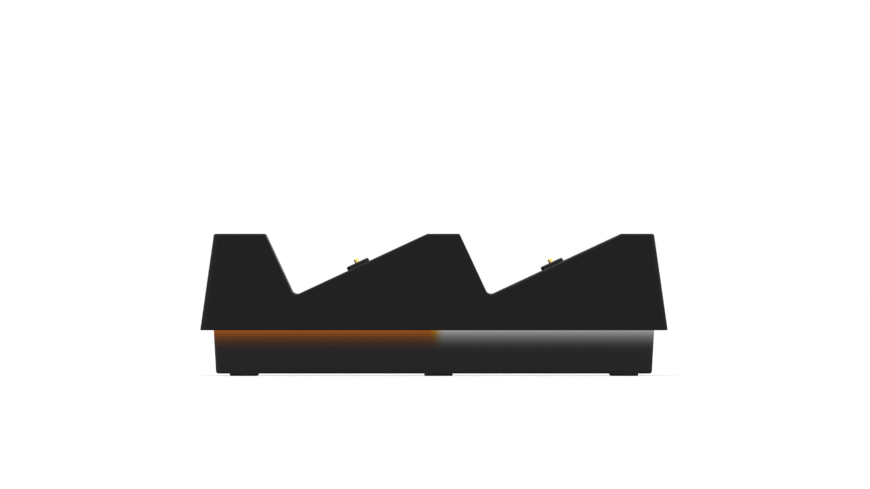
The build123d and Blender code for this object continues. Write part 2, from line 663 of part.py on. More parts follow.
def controller_chip():
    """Chip that watches both batteries and sets the lights."""
    return Pos(INLET_X, 0, BOARD_TOP_Z) * Box(*CONTROLLER_SIZE, align=STANDING)


def inlet_outline(inset):
    """Section of the supply socket: a flat rectangle with its two lower corners cut off."""
    outline = Rectangle(INLET_WIDTH - 2 * inset, INLET_HEIGHT - 2 * inset)
    return chamfer(outline.vertices().sort_by(Axis.Y)[:2], INLET_CORNER)


def usb_shell():
    """Folded steel shell of the supply socket, its mouth level with the floor of the pocket."""
    sheet = inlet_outline(0) - inlet_outline(INLET_SHEET)
    return extrude(inlet_mouth() * sheet, -INLET_LENGTH)


def usb_tongue():
    """Insulator that fills the back of the shell, with the blade that carries the contacts."""
    back = inlet_mouth().offset(-INLET_LENGTH)
    block = extrude(back * inlet_outline(INLET_SHEET), INLET_BACK)
    return block + extrude(back * Rectangle(TONGUE_WIDTH, TONGUE_THICK), INLET_LENGTH - TONGUE_RECESS)


# Every node of the dock, by name
NODES = {
    "upper_housing": upper_housing(),
    "base_housing": base_housing(),
    "housing_screws": housing_screws(),
    "contact_screws": contact_screws(),
    "main_board": main_board(),
    "board_screws": board_screws(),
    "charge_chips": charge_chips(),
    "inductors": inductors(),
    "capacitors": capacitors(),
    "controller_chip": controller_chip(),
    "usb_shell": usb_shell(),
    "usb_tongue": usb_tongue(),
}
for place in FOOT_PLACES:
    NODES[f"foot_{place}"] = foot(place)
for side in SIDES:
    NODES[f"light_guide_{side}"] = light_guide(side)
    NODES[f"led_board_{side}"] = led_board(side)
    NODES[f"leds_{side}"] = leds(side)
    NODES[f"led_lead_{side}"] = led_lead(side)
    NODES[f"contact_carrier_{side}"] = contact_carrier(side)
    NODES[f"contact_board_{side}"] = contact_board(side)
    NODES[f"contact_header_{side}"] = contact_header(side)
    NODES[f"harness_{side}"] = harness(side)
    NODES[f"board_header_{side}"] = board_header(side)
    for number, y in enumerate(pin_places(), start=1):
        NODES[f"contact_pin_{side}_{number}"] = contact_pin(side, y)
        NODES[f"pin_spring_{side}_{number}"] = pin_spring(side, y)

os.makedirs("parts", exist_ok=True)
for name, shape in NODES.items():
    export_step(shape, f"parts/{name}.step")
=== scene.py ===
import json
import math

import bpy
import numpy as np
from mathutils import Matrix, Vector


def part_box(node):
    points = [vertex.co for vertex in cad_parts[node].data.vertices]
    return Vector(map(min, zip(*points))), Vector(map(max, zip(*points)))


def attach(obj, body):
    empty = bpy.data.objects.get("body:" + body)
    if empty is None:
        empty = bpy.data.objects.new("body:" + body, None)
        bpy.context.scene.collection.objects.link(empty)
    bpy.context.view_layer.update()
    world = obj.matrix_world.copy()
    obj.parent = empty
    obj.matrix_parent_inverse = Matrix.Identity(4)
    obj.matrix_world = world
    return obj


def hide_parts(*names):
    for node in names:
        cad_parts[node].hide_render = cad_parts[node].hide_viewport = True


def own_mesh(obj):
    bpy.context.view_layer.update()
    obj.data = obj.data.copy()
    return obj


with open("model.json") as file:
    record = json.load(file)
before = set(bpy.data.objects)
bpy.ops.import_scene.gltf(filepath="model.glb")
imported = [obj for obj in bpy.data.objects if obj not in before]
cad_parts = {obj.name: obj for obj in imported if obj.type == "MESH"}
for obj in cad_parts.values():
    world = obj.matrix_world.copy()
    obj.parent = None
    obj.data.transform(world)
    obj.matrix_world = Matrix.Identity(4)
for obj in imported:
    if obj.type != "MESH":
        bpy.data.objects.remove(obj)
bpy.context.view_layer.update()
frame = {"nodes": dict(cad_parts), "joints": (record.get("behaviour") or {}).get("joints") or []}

# Base housing: the tray that stands on the table and carries everything else, injection-moulded in black ABS.
# The spark-eroded tool leaves a fine matt grain. The light of the strip above is painted on the outer wall as
# an emission glow.
MM = 0.001
# The base's ABS is set lighter than the upper housing's, which is the same plastic: the difference is painted
# light.
BASE_DARK = "#1F1F1F"
BASE_LIGHT = "#262626"
GRAIN_DETAIL = 3.0
GRAIN_SPREAD = (0.25, 0.75)
# ABS grain is about 0.15 mm across; it is drawn three times as coarse, so that it shows.
ABS_FINISH = {
    "grain": 0.45 * MM,
    "relief": 0.02 * MM,
    "roughness": (0.50, 0.66),
    "Specular_IOR_Level": 0.1,
}
# Colours, strength, reach and falloff of the light painted on the base's outer wall; the orange and white
# also colour the guides' glow.
WASH_ORANGE = "#F78400"
WASH_AMBER = "#F7B600"
WASH_WHITE = "#FFFFFF"
PAINTED_WASH_STRENGTH = 0.312
WASH_REACH = 10.5 * MM
WASH_FALLOFF = 3.05
WASH_MEETING = (-3.6 * MM, 2.1 * MM)
AMBER_SHARE = 0.38
WALL_DEPTH = 1.5 * MM


def linear(hex_colour):
    """sRGB hex to linear RGBA: c / 12.92 up to 0.04045, and ((c + 0.055) / 1.055) to the power 2.4 above."""
    channels = [int(hex_colour[i : i + 2], 16) / 255 for i in (1, 3, 5)]
    return [c / 12.92 if c <= 0.04045 else ((c + 0.055) / 1.055) ** 2.4 for c in channels] + [1.0]


def wire(material, node, inputs):
    """Fills a node's sockets: each gets a value, or a link where the value is another node's output."""
    for name, value in inputs.items():
        if isinstance(value, bpy.types.NodeSocket):
            material.node_tree.links.new(value, node.inputs[name])
        else:
            node.inputs[name].default_value = value


def add_node(material, kind, inputs, **settings):
    """Adds a node with its settings, fills its sockets and returns it."""
    node = material.node_tree.nodes.new(kind)
    for name, value in settings.items():
        setattr(node, name, value)
    wire(material, node, inputs)
    return node


def empty_material(name):
    """A node material with nothing in it."""
    material = bpy.data.materials.new(name)
    material.use_nodes = True
    material.node_tree.nodes.clear()
    return material


def grained(name, dark, light, grain, roughness, relief=0.0, stretch=(1.0, 1.0, 1.0), **sockets):
    """A surface whose colour, roughness and height follow one noise on Object coordinates.

    grain is the size of the noise's cells and relief its height, in metres. Colour runs from dark to
    light, and roughness between its two values over the noise's usual spread. A stretch below 1 draws
    the cells out along that axis.
    """
    material = empty_material(name)
    place = add_node(material, "ShaderNodeTexCoord", {}).outputs["Object"]
    drawn = add_node(material, "ShaderNodeMapping", {"Vector": place, "Scale": stretch}).outputs["Vector"]
    cells = {"Vector": drawn, "Scale": 1 / grain, "Detail": GRAIN_DETAIL}
    level = add_node(material, "ShaderNodeTexNoise", cells).outputs["Fac"]
    colours = {"Factor": level, "A": linear(dark), "B": linear(light)}
    spread = {"Value": level, "From Min": GRAIN_SPREAD[0], "From Max": GRAIN_SPREAD[1]}
    spread |= {"To Min": roughness[0], "To Max": roughness[1]}
    surface = {
        "Base Color": add_node(material, "ShaderNodeMix", colours, data_type="RGBA").outputs["Result"],
        "Roughness": add_node(material, "ShaderNodeMapRange", spread).outputs["Result"],
        **{socket.replace("_", " "): value for socket, value in sockets.items()},
    }
    if relief:
        bump = add_node(material, "ShaderNodeBump", {"Height": level, "Distance": relief})
        surface["Normal"] = bump.outputs["Normal"]
    shader = add_node(material, "ShaderNodeBsdfPrincipled", surface)
    add_node(material, "ShaderNodeOutputMaterial", {"Surface": shader.outputs["BSDF"]})
    return material


def opened(material):
    """The shader of a grained material and its Object coordinates, for adding to them."""
    nodes = material.node_tree.nodes
    return nodes["Principled BSDF"], nodes["Texture Coordinate"].outputs["Object"]


def dress(material, *names):
    """Gives CAD nodes a material."""
    for name in names:
        frame["nodes"][name].material_slots[0].material = material


base_abs = grained("moulded_abs_base", BASE_DARK, BASE_LIGHT, **ABS_FINISH)
base_shader, base_place = opened(base_abs)
rim_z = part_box("upper_housing")[0].z
base_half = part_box("base_housing")[1]
split_x = (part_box("light_guide_left")[1].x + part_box("light_guide_right")[0].x) / 2
axes = add_node(base_abs, "ShaderNodeSeparateXYZ", {"Vector": base_place}).outputs


def outer_wall(axis, half):
    """1 where the distance from the middle along an axis is within the wall's depth of the half size."""
    away = add_node(base_abs, "ShaderNodeMath", {0: axis}, operation="ABSOLUTE").outputs[0]
    limit = {0: away, 1: half - WALL_DEPTH}
    return add_node(base_abs, "ShaderNodeMath", limit, operation="GREATER_THAN").outputs[0]


# Painted light: the strip's glow is painted on the outer wall as emission, strongest under the rim: (1 - d /
# reach) to a power, with d the distance below the rim.
walls = {0: outer_wall(axes["X"], base_half.x), 1: outer_wall(axes["Y"], base_half.y)}
outside = add_node(base_abs, "ShaderNodeMath", walls, operation="MAXIMUM").outputs[0]
height = {"Value": axes["Z"], "From Min": rim_z - WASH_REACH, "From Max": rim_z}
near = add_node(base_abs, "ShaderNodeMapRange", height).outputs["Result"]
fade = add_node(base_abs, "ShaderNodeMath", {0: near, 1: WASH_FALLOFF}, operation="POWER").outputs[0]
lit = add_node(base_abs, "ShaderNodeMath", {0: fade, 1: outside}, operation="MULTIPLY").outputs[0]
painted_wash = add_node(base_abs, "ShaderNodeMath", {0: lit, 1: PAINTED_WASH_STRENGTH}, operation="MULTIPLY").outputs[0]
meeting = {"Value": axes["X"], "From Min": split_x + WASH_MEETING[0], "From Max": split_x + WASH_MEETING[1]}
along = add_node(base_abs, "ShaderNodeMapRange", meeting).outputs["Result"]
# The painted glow runs orange on the left, through amber where the guides meet, to white on the right.
hue = add_node(base_abs, "ShaderNodeValToRGB", {"Fac": along})
hue.color_ramp.elements[0].color = linear(WASH_ORANGE)
hue.color_ramp.elements[1].color = linear(WASH_WHITE)
hue.color_ramp.elements.new(AMBER_SHARE).color = linear(WASH_AMBER)
wire(base_abs, base_shader, {"Emission Color": hue.outputs["Color"], "Emission Strength": painted_wash})
dress(base_abs, "base_housing")

# Main board, contact boards and light boards: glass-fibre laminate, milled to outline. Its green lacquer
# shows the copper tracks as paler, slightly raised lines, among tinned dots where tracks change sides.
# The cut edges are bare and straw-coloured.
SIDES = ("left", "right")
BOARDS = ["main_board"] + [f"{kind}_board_{side}" for kind in ("contact", "led") for side in SIDES]
LACQUER_DARK = "#174A2B"
LACQUER_LIGHT = "#1D5834"
LACQUER_FINISH = {"grain": 2.0 * MM, "roughness": (0.25, 0.4)}
TRACK_GREEN = "#2F7A49"
TRACK_LENGTH = 24.0 * MM
TRACK_SPACING = 1.3 * MM
TRACK_WIDTH = 0.3 * MM
TRACK_RELIEF = 0.035 * MM
TRACK_STEPS = {"offset": 0.37, "offset_frequency": 3, "squash": 0.45, "squash_frequency": 4}
DOT_TIN = "#C4BE9E"
DOT_SPACING = 4.5 * MM
DOT_RADIUS = 0.35 * MM
LAMINATE_EDGE = "#B8A571"
FACE_UPRIGHT = 0.6
laminate = grained("lacquered_laminate", LACQUER_DARK, LACQUER_LIGHT, **LACQUER_FINISH)
laminate_shader, laminate_place = opened(laminate)
track_sizes = {
    "Vector": laminate_place,
    "Scale": 1.0,
    "Mortar Size": TRACK_WIDTH / 2,
    "Brick Width": TRACK_LENGTH,
    "Row Height": TRACK_SPACING,
}
tracks = add_node(laminate, "ShaderNodeTexBrick", track_sizes, **TRACK_STEPS).outputs["Fac"]
lacquer = laminate_shader.inputs["Base Color"].links[0].from_socket
coats = {"Factor": tracks, "A": lacquer, "B": linear(TRACK_GREEN)}
coat = add_node(laminate, "ShaderNodeMix", coats, data_type="RGBA").outputs["Result"]
scatter = {"Vector": laminate_place, "Scale": 1 / DOT_SPACING}
nearest = add_node(laminate, "ShaderNodeTexVoronoi", scatter, voronoi_dimensions="2D").outputs["Distance"]
dot_edge = {0: nearest, 1: DOT_RADIUS / DOT_SPACING}
is_dot = add_node(laminate, "ShaderNodeMath", dot_edge, operation="LESS_THAN").outputs[0]
dotted = {"Factor": is_dot, "A": coat, "B": linear(DOT_TIN)}
top = add_node(laminate, "ShaderNodeMix", dotted, data_type="RGBA").outputs["Result"]
facing = add_node(laminate, "ShaderNodeNewGeometry", {}).outputs["Normal"]
upright = add_node(laminate, "ShaderNodeSeparateXYZ", {"Vector": facing}).outputs["Z"]
flat = add_node(laminate, "ShaderNodeMath", {0: upright}, operation="ABSOLUTE").outputs[0]
level_enough = {0: flat, 1: FACE_UPRIGHT}
is_face = add_node(laminate, "ShaderNodeMath", level_enough, operation="GREATER_THAN").outputs[0]
faces = {"Factor": is_face, "A": linear(LAMINATE_EDGE), "B": top}
skin = add_node(laminate, "ShaderNodeMix", faces, data_type="RGBA").outputs["Result"]
copper = add_node(laminate, "ShaderNodeMath", {0: tracks, 1: is_face}, operation="MULTIPLY").outputs[0]
step_up = {"Height": copper, "Distance": TRACK_RELIEF}
raised = add_node(laminate, "ShaderNodeBump", step_up).outputs["Normal"]
wire(laminate, laminate_shader, {"Base Color": skin, "Normal": raised})
dress(laminate, *BOARDS)

# Chips and chokes: blocks of moulded epoxy and pressed ferrite, soldered to the main board by tinned legs and
# tabs. The blocks are dull and dark, and the ferrite is greyer and coarser.
CHIP_DARK = "#191A1B"
CHIP_LIGHT = "#242527"
CHIP_FINISH = {"grain": 0.2 * MM, "relief": 0.01 * MM, "roughness": (0.5, 0.65)}
FERRITE_DARK = "#2A2928"
FERRITE_LIGHT = "#3A3937"
FERRITE_FINISH = {"grain": 0.4 * MM, "relief": 0.03 * MM, "roughness": (0.55, 0.75)}
SOLDER_DARK = "#A6A8AA"
SOLDER_LIGHT = "#D2D4D6"
SOLDER_FINISH = {"grain": 0.25 * MM, "relief": 0.006 * MM, "roughness": (0.24, 0.42), "Metallic": 1.0}
UPWARDS = np.array((0.0, 0.0, 1.0))
END_SIDES = np.array([(1.0, 0.0, 0.0), (-1.0, 0.0, 0.0)])
LONG_SIDES = np.array([(0.0, 1.0, 0.0), (0.0, -1.0, 0.0)])
# For each chip node: the legs on a side, their pitch, and the sides that have legs.
CHIP_LEGS = {
    "charge_chips": (4, 1.27 * MM, LONG_SIDES),
    "controller_chip": (8, 0.8 * MM, np.concatenate([END_SIDES, LONG_SIDES])),
}
LEG_WIDTH = 0.38 * MM
LEG_THICK = 0.16 * MM
LEG_ROOT = -0.2 * MM
LEG_KNEE = 0.15 * MM
LEG_ANKLE = 0.5 * MM
LEG_TOE = 1.0 * MM
LEG_RINGS = 15
TAB_WIDTH = 2.2 * MM
TAB_THICK = 0.2 * MM
TAB_SPAN = (-0.3 * MM, 0.6 * MM)
SAME_PLACE = 0.0001 * MM
BAR_CORNERS = 16
BAR_POWER = 0.5
epoxy = grained("moulded_epoxy", CHIP_DARK, CHIP_LIGHT, **CHIP_FINISH)
solder = grained("tin_plate", SOLDER_DARK, SOLDER_LIGHT, **SOLDER_FINISH)
dress(epoxy, *CHIP_LEGS)
dress(grained("pressed_ferrite", FERRITE_DARK, FERRITE_LIGHT, **FERRITE_FINISH), "inductors")


def node_points(name):
    """The corners of a CAD node's mesh as rows of x, y, z."""
    vertices = frame["nodes"][name].data.vertices
    flat = np.empty(3 * len(vertices))
    vertices.foreach_get("co", flat)
    return flat.reshape(-1, 3)


def solids(name):
    """The corners of each separate solid in a CAD node.

    Corners at one place count as one place. Each place takes the lowest number among the places that share a
    triangle with it, until nothing changes, so that the places of one solid end with one number.
    """
    rows = node_points(name)
    place = np.unique(np.round(rows / SAME_PLACE), axis=0, return_inverse=True)[1].reshape(-1)
    loops = frame["nodes"][name].data.loops
    corners = np.empty(len(loops), int)
    loops.foreach_get("vertex_index", corners)
    triangles = place[corners].reshape(-1, 3)
    number = np.arange(place.max() + 1)
    before = None
    while before is None or (before != number).any():
        before = number.copy()
        np.minimum.at(number, triangles, before[triangles].min(axis=1, keepdims=True))
    return [rows[number[place] == one] for one in np.unique(number)]


def evenly(count, pitch):
    """Distances from the middle of a row: whole steps, shifted by half of the row's length."""
    return (np.arange(count) - (count - 1) / 2) * pitch


def bar_profile(width, thick):
    """Superelliptic section of a flat bar: cosine and sine, each to a power below one with its sign kept."""
    turn = np.linspace(0, 2 * np.pi, BAR_CORNERS, endpoint=False)
    circle = np.stack([np.cos(turn), np.sin(turn)], axis=-1)
    return np.sign(circle) * np.abs(circle) ** BAR_POWER * (width / 2, thick / 2)


def carried(profile, spine, across):
    """Closed skin of a profile carried along a path: its points, its quads and the caps of its two ends.

    Each ring is a spine point plus the profile's first measure along across and its second along the cross
    product of the path's direction and across. Quads join each ring to the next one.
    """
    along = np.gradient(spine, axis=0)
    along /= np.linalg.norm(along, axis=1, keepdims=True)
    across = np.broadcast_to(across, spine.shape)
    up = np.cross(along, across)
    rings = spine[:, None] + profile[None, :, :1] * across[:, None] + profile[None, :, 1:] * up[:, None]
    length, count = rings.shape[:2]
    corner = np.arange(length * count).reshape(length, count)
    turned = np.roll(corner, -1, axis=1)
    quads = np.stack([corner[:-1], turned[:-1], turned[1:], corner[1:]], axis=-1).reshape(-1, 4)
    caps = np.stack([corner[0, ::-1], corner[-1]])
    return rings.reshape(-1, 3), quads, caps


def new_piece(name, skins, material):
    """One object from several skins, shaded smooth, riding on the housing."""
    points, quads, caps = zip(*skins)
    starts = np.cumsum([0] + [len(rows) for rows in points])
    moved = [faces + start for kind in (quads, caps) for faces, start in zip(kind, starts)]
    polygons = [face for faces in moved for face in faces.tolist()]
    mesh = bpy.data.meshes.new(name)
    mesh.from_pydata(np.concatenate(points).tolist(), [], polygons)
    mesh.polygons.foreach_set("use_smooth", np.ones(len(polygons), bool))
    mesh.materials.append(material)
    piece = bpy.data.objects.new(name, mesh)
    bpy.context.scene.collection.objects.link(piece)
    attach(piece, "housing")
    return piece


def leg(root, outward, drop):
    """Chip leg: level, then down by drop times 3 s^2 - 2 s^3 as s goes from knee to ankle, then level."""
    reach = np.linspace(LEG_ROOT, LEG_TOE, LEG_RINGS)[:, None]
    share = np.clip((reach - LEG_KNEE) / (LEG_ANKLE - LEG_KNEE), 0, 1)
    spine = root + reach * outward - drop * (3 * share**2 - 2 * share**3) * UPWARDS
    return carried(bar_profile(LEG_WIDTH, LEG_THICK), spine, np.cross(outward, UPWARDS))


def tabs(name):
    """Flat tabs on the board, from under both ends of each solid in a node outwards."""
    skins = []
    for rows in solids(name):
        low, high = rows.min(axis=0), rows.max(axis=0)
        foot = (low + high) / 2
        foot[2] = low[2] + TAB_THICK / 2
        for outward in END_SIDES:
            spine = foot + (high - low) / 2 * outward + np.array(TAB_SPAN)[:, None] * outward
            skins.append(carried(bar_profile(TAB_WIDTH, TAB_THICK), spine, np.cross(outward, UPWARDS)))
    return skins


legs = []
for name, (count, pitch, leg_sides) in CHIP_LEGS.items():
    for rows in solids(name):
        low, high = rows.min(axis=0), rows.max(axis=0)
        middle, half = (low + high) / 2, (high - low) / 2
        for outward in leg_sides:
            for step in evenly(count, pitch):
                root = middle + half * outward + step * np.cross(outward, UPWARDS)
                legs.append(leg(root, outward, half[2] - LEG_THICK / 2))
new_piece("chip_legs", legs, solder)
new_piece("choke_tabs", tabs("inductors"), solder)

# Capacitors: three deep-drawn aluminium cans, each in a square plastic base with two tinned tabs.
# The draw leaves fine upright lines that stretch the highlights.
CAN_DARK = "#B4B7BB"
CAN_LIGHT = "#D9DBDE"
CAN_FINISH = {"grain": 0.15 * MM, "relief": 0.004 * MM, "roughness": (0.22, 0.4), "Metallic": 1.0}
CAN_DRAWN = (1.0, 1.0, 0.05)
CAN_BASE_HALF = 2.75 * MM
CAN_BASE_THICK = 0.7 * MM
CAN_BASE_POWER = 0.25
CAN_BASE_STEPS = 96
dress(grained("drawn_aluminium", CAN_DARK, CAN_LIGHT, stretch=CAN_DRAWN, **CAN_FINISH), "capacitors")


def can_base(rows):
    """Plate round a can's foot: from the can's circle out to a superellipse close to a square.

    Its section is a flat bar's, stretched between the two outlines. It closes both ways round, without caps.
    """
    low, high = rows.min(axis=0), rows.max(axis=0)
    turn = np.linspace(0, 2 * np.pi, CAN_BASE_STEPS, endpoint=False)
    circle = np.stack([np.cos(turn), np.sin(turn)], axis=-1)
    inner = circle * (high[0] - low[0]) / 2
    outer = np.sign(circle) * np.abs(circle) ** CAN_BASE_POWER * CAN_BASE_HALF
    section = bar_profile(1, 1) + 0.5
    points = np.empty((CAN_BASE_STEPS, BAR_CORNERS, 3))
    points[..., :2] = (low + high)[:2] / 2 + inner[:, None] + (outer - inner)[:, None] * section[None, :, :1]
    points[..., 2] = low[2] + section[:, 1] * CAN_BASE_THICK
    corner = np.arange(points.shape[0] * points.shape[1]).reshape(points.shape[:2])
    ahead = np.roll(corner, -1, axis=0)
    quads = np.stack([corner, ahead, np.roll(ahead, -1, axis=1), np.roll(corner, -1, axis=1)], axis=-1)
    return points.reshape(-1, 3), quads.reshape(-1, 4), np.empty((0, 3), int)


new_piece("can_bases", [can_base(rows) for rows in solids("capacitors")], epoxy)
new_piece("can_tabs", tabs("capacitors"), solder)

# Supply socket: a shell folded from tinned steel sheet, round a black nylon insulator whose blade carries
# five gold-plated contact strips. The sheet keeps the faint lines of its rolling.
TIN_DARK = "#A9ACB0"
TIN_LIGHT = "#CDD0D3"
TIN_FINISH = {"grain": 0.12 * MM, "relief": 0.004 * MM, "roughness": (0.25, 0.42), "Metallic": 1.0}
TIN_ROLLED = (1.0, 0.05, 1.0)
NYLON_DARK = "#151515"
NYLON_LIGHT = "#1E1E1E"
NYLON_FINISH = {
    "grain": 0.3 * MM,
    "relief": 0.02 * MM,
    "roughness": (0.4, 0.6),
    "Specular_IOR_Level": 0.25,
}
GOLD_DARK = "#E2B860"
GOLD_LIGHT = "#FFDF96"
GOLD_FINISH = {"grain": 0.15 * MM, "relief": 0.003 * MM, "roughness": (0.16, 0.3), "Metallic": 1.0}
STRIP_COUNT = 5
STRIP_PITCH = 0.65 * MM
STRIP_WIDTH = 0.36 * MM
STRIP_THICK = 0.08 * MM
STRIP_LENGTH = 3.2 * MM
STRIP_SETBACK = 0.15 * MM
BLADE_THICK = 0.6 * MM
dress(grained("rolled_tinned_steel", TIN_DARK, TIN_LIGHT, stretch=TIN_ROLLED, **TIN_FINISH), "usb_shell")
filled_nylon = grained("glass_filled_nylon", NYLON_DARK, NYLON_LIGHT, **NYLON_FINISH)
dress(filled_nylon, "usb_tongue")
gold_plate = grained("gold_plate_on_brass", GOLD_DARK, GOLD_LIGHT, **GOLD_FINISH)
tongue_low, tongue_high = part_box("usb_tongue")
strip_y = np.array((-STRIP_LENGTH, 0.0)) + tongue_high.y - STRIP_SETBACK
strip_z = (tongue_low.z + tongue_high.z + BLADE_THICK) / 2
strips = []
for step in evenly(STRIP_COUNT, STRIP_PITCH):
    strip_x = (tongue_low.x + tongue_high.x) / 2 + step
    spine = np.array([(strip_x, y, strip_z) for y in strip_y])
    strips.append(carried(bar_profile(STRIP_WIDTH, STRIP_THICK), spine, END_SIDES[1]))
new_piece("usb_contacts", strips, gold_plate)

# Light guides: two frames of milky polycarbonate lying on the base's top edge, lit from above by the lamps.
# The light is orange on the left half and white on the right, a little brighter under each lamp.
ORANGE_DARK = "#E8A868"
ORANGE_LIGHT = "#F0B070"
WHITE_DARK = "#E8E8E6"
WHITE_LIGHT = "#F2F2F0"
GUIDE_FINISH = {"grain": 3.0 * MM, "relief": 0.02 * MM, "roughness": (0.3, 0.45)}
GUIDE_GLOW = 0.7
LAMP_SPOT = 0.12
LAMP_PITCH = 14.0 * MM


def milky_guide(name, dark, light, hue):
    """Polycarbonate that glows: a base level, plus a cosine of the lamps' pitch along each axis."""
    material = grained(name, dark, light, **GUIDE_FINISH)
    shader, place = opened(material)
    axes = add_node(material, "ShaderNodeSeparateXYZ", {"Vector": place}).outputs
    turn = 2 * math.pi / LAMP_PITCH
    phases = {"X": math.pi - turn * split_x, "Y": 0.0}
    glow = GUIDE_GLOW
    for axis, phase in phases.items():
        angle = {0: axes[axis], 1: turn, 2: phase}
        angle = add_node(material, "ShaderNodeMath", angle, operation="MULTIPLY_ADD").outputs[0]
        wave = add_node(material, "ShaderNodeMath", {0: angle}, operation="COSINE").outputs[0]
        sum_up = {0: wave, 1: LAMP_SPOT, 2: glow}
        glow = add_node(material, "ShaderNodeMath", sum_up, operation="MULTIPLY_ADD").outputs[0]
    wire(material, shader, {"Emission Color": linear(hue), "Emission Strength": glow})
    return material


dress(milky_guide("milky_polycarbonate_orange", ORANGE_DARK, ORANGE_LIGHT, WASH_ORANGE), "light_guide_left")
dress(milky_guide("milky_polycarbonate_white", WHITE_DARK, WHITE_LIGHT, WASH_WHITE), "light_guide_right")

# Lamps: small surface-mounted lights under the light boards, clear epoxy over a yellow phosphor.
# The phosphor settles unevenly, so the lens is faintly cloudy.
PHOSPHOR_DARK = "#E3D08A"
PHOSPHOR_LIGHT = "#F4E9BC"
LENS_FINISH = {"grain": 0.5 * MM, "relief": 0.005 * MM, "roughness": (0.12, 0.25)}
lens = grained("epoxy_over_phosphor", PHOSPHOR_DARK, PHOSPHOR_LIGHT, **LENS_FINISH)
dress(lens, *[f"leds_{side}" for side in SIDES])

# Contact blocks: a carrier of black glass-filled nylon stands out of each ramp and guides three sprung pins.
# The pins are turned brass with gold plating, bright and barely marked.
PIN_NUMBERS = [f"{side}_{number}" for side in SIDES for number in (1, 2, 3)]
dress(filled_nylon, *[f"contact_carrier_{side}" for side in SIDES])
dress(gold_plate, *[f"contact_pin_{number}" for number in PIN_NUMBERS])

# Pin springs: compression springs of drawn steel wire, bright and finely mottled, with one closed turn at
# each end. Each stands on its contact board and presses on the pin's flange. Each coil is wound at the
# length of its spring node and rides on the housing.
WIRE_DARK = "#8C9096"
WIRE_LIGHT = "#B4B8BD"
WIRE_FINISH = {"grain": 0.1 * MM, "relief": 0.003 * MM, "roughness": (0.22, 0.4), "Metallic": 1.0}
WIRE_RADIUS = 0.2 * MM
WIRE_CORNERS = 10
COIL_RADIUS = 1.3 * MM
OPEN_TURNS = 4
STEPS_PER_TURN = 28
BACKWARDS = LONG_SIDES[0]
wire_steel = grained("drawn_spring_wire", WIRE_DARK, WIRE_LIGHT, **WIRE_FINISH)


def coil(foot, length, out, climb):
    """Wire wound round the pin's axis: a circle in climb and y, rising along out.

    The rise per turn is one wire thickness in the two end turns and an even share of the rest between them.
    """
    turns = np.linspace(0, OPEN_TURNS + 2, STEPS_PER_TURN * (OPEN_TURNS + 2) + 1)
    rise = length - 2 * WIRE_RADIUS
    stages = [0, 2 * WIRE_RADIUS, rise - 2 * WIRE_RADIUS, rise]
    heights = np.interp(turns, [0, 1, OPEN_TURNS + 1, OPEN_TURNS + 2], stages)
    angle = 2 * np.pi * turns[:, None]
    across = np.cos(angle) * climb + np.sin(angle) * BACKWARDS
    spine = foot + COIL_RADIUS * across + (heights[:, None] + WIRE_RADIUS) * out
    around = np.linspace(0, 2 * np.pi, WIRE_CORNERS, endpoint=False)
    profile = WIRE_RADIUS * np.stack([np.cos(around), np.sin(around)], axis=-1)
    return carried(profile, spine, across)


for number in PIN_NUMBERS:
    joint = next(j for j in frame["joints"] if j["name"] == f"pin_{number}_press")
    out = -np.array(joint["axis"], float)
    climb = np.cross(BACKWARDS, out)
    pin_rows = node_points(f"contact_pin_{number}")
    spring_heights = node_points(f"pin_spring_{number}") @ out
    low, high = spring_heights.min(), spring_heights.max()
    along_climb = pin_rows @ climb
    along_y = pin_rows @ BACKWARDS
    middle = (along_climb.min() + along_climb.max()) / 2 * climb
    middle += (along_y.min() + along_y.max()) / 2 * BACKWARDS
    foot = middle + low * out
    spring = new_piece(f"coil_{number}", [coil(foot, high - low, out, climb)], wire_steel)
    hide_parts(f"pin_spring_{number}")
    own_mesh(spring)

# Plug housings and leads: natural nylon housings on both boards, and flat black PVC leads between them.
# The leads' cores lie side by side and show as soft grooves.
PLUG_DARK = "#D2CAB6"
PLUG_LIGHT = "#E2DCCB"
PLUG_FINISH = {"grain": 1.2 * MM, "relief": 0.01 * MM, "roughness": (0.38, 0.52)}
PVC_DARK = "#1D1D1F"
PVC_LIGHT = "#29292C"
PVC_FINISH = {"grain": 0.8 * MM, "roughness": (0.4, 0.55)}
CORE_PITCH = 1.3 * MM
CORE_RELIEF = 0.25 * MM
nylon = grained("natural_nylon", PLUG_DARK, PLUG_LIGHT, **PLUG_FINISH)
dress(nylon, *[f"{board}_header_{side}" for board in ("contact", "board") for side in SIDES])


def pvc_lead(name, axis, middle):
    """Black PVC whose relief is the size of the sine of the distance across the lead, one arch per core."""
    material = grained(name, PVC_DARK, PVC_LIGHT, **PVC_FINISH)
    shader, place = opened(material)
    across = add_node(material, "ShaderNodeSeparateXYZ", {"Vector": place}).outputs[axis]
    turn = math.pi / CORE_PITCH
    angle = {0: across, 1: turn, 2: -turn * middle}
    angle = add_node(material, "ShaderNodeMath", angle, operation="MULTIPLY_ADD").outputs[0]
    wave = add_node(material, "ShaderNodeMath", {0: angle}, operation="SINE").outputs[0]
    arch = add_node(material, "ShaderNodeMath", {0: wave}, operation="ABSOLUTE").outputs[0]
    bump = add_node(material, "ShaderNodeBump", {"Height": arch, "Distance": CORE_RELIEF}).outputs["Normal"]
    wire(material, shader, {"Normal": bump})
    return material


dress(pvc_lead("pvc_three_core", "Y", CORE_PITCH / 2), *[f"harness_{side}" for side in SIDES])
for side in SIDES:
    low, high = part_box(f"led_lead_{side}")
    dress(pvc_lead(f"pvc_two_core_{side}", "X", (low.x + high.x) / 2), f"led_lead_{side}")

# Upper housing: the flared shell with both cradles, moulded in black ABS with the same matt grain as the
# base. Six screws from below draw its bosses down into the base's posts.
# The upper housing's ABS is set darker than the base's, which is the same plastic: the difference is painted
# shade.
UPPER_DARK = "#101010"
UPPER_LIGHT = "#181818"
dress(grained("moulded_abs_upper", UPPER_DARK, UPPER_LIGHT, **ABS_FINISH), "upper_housing")

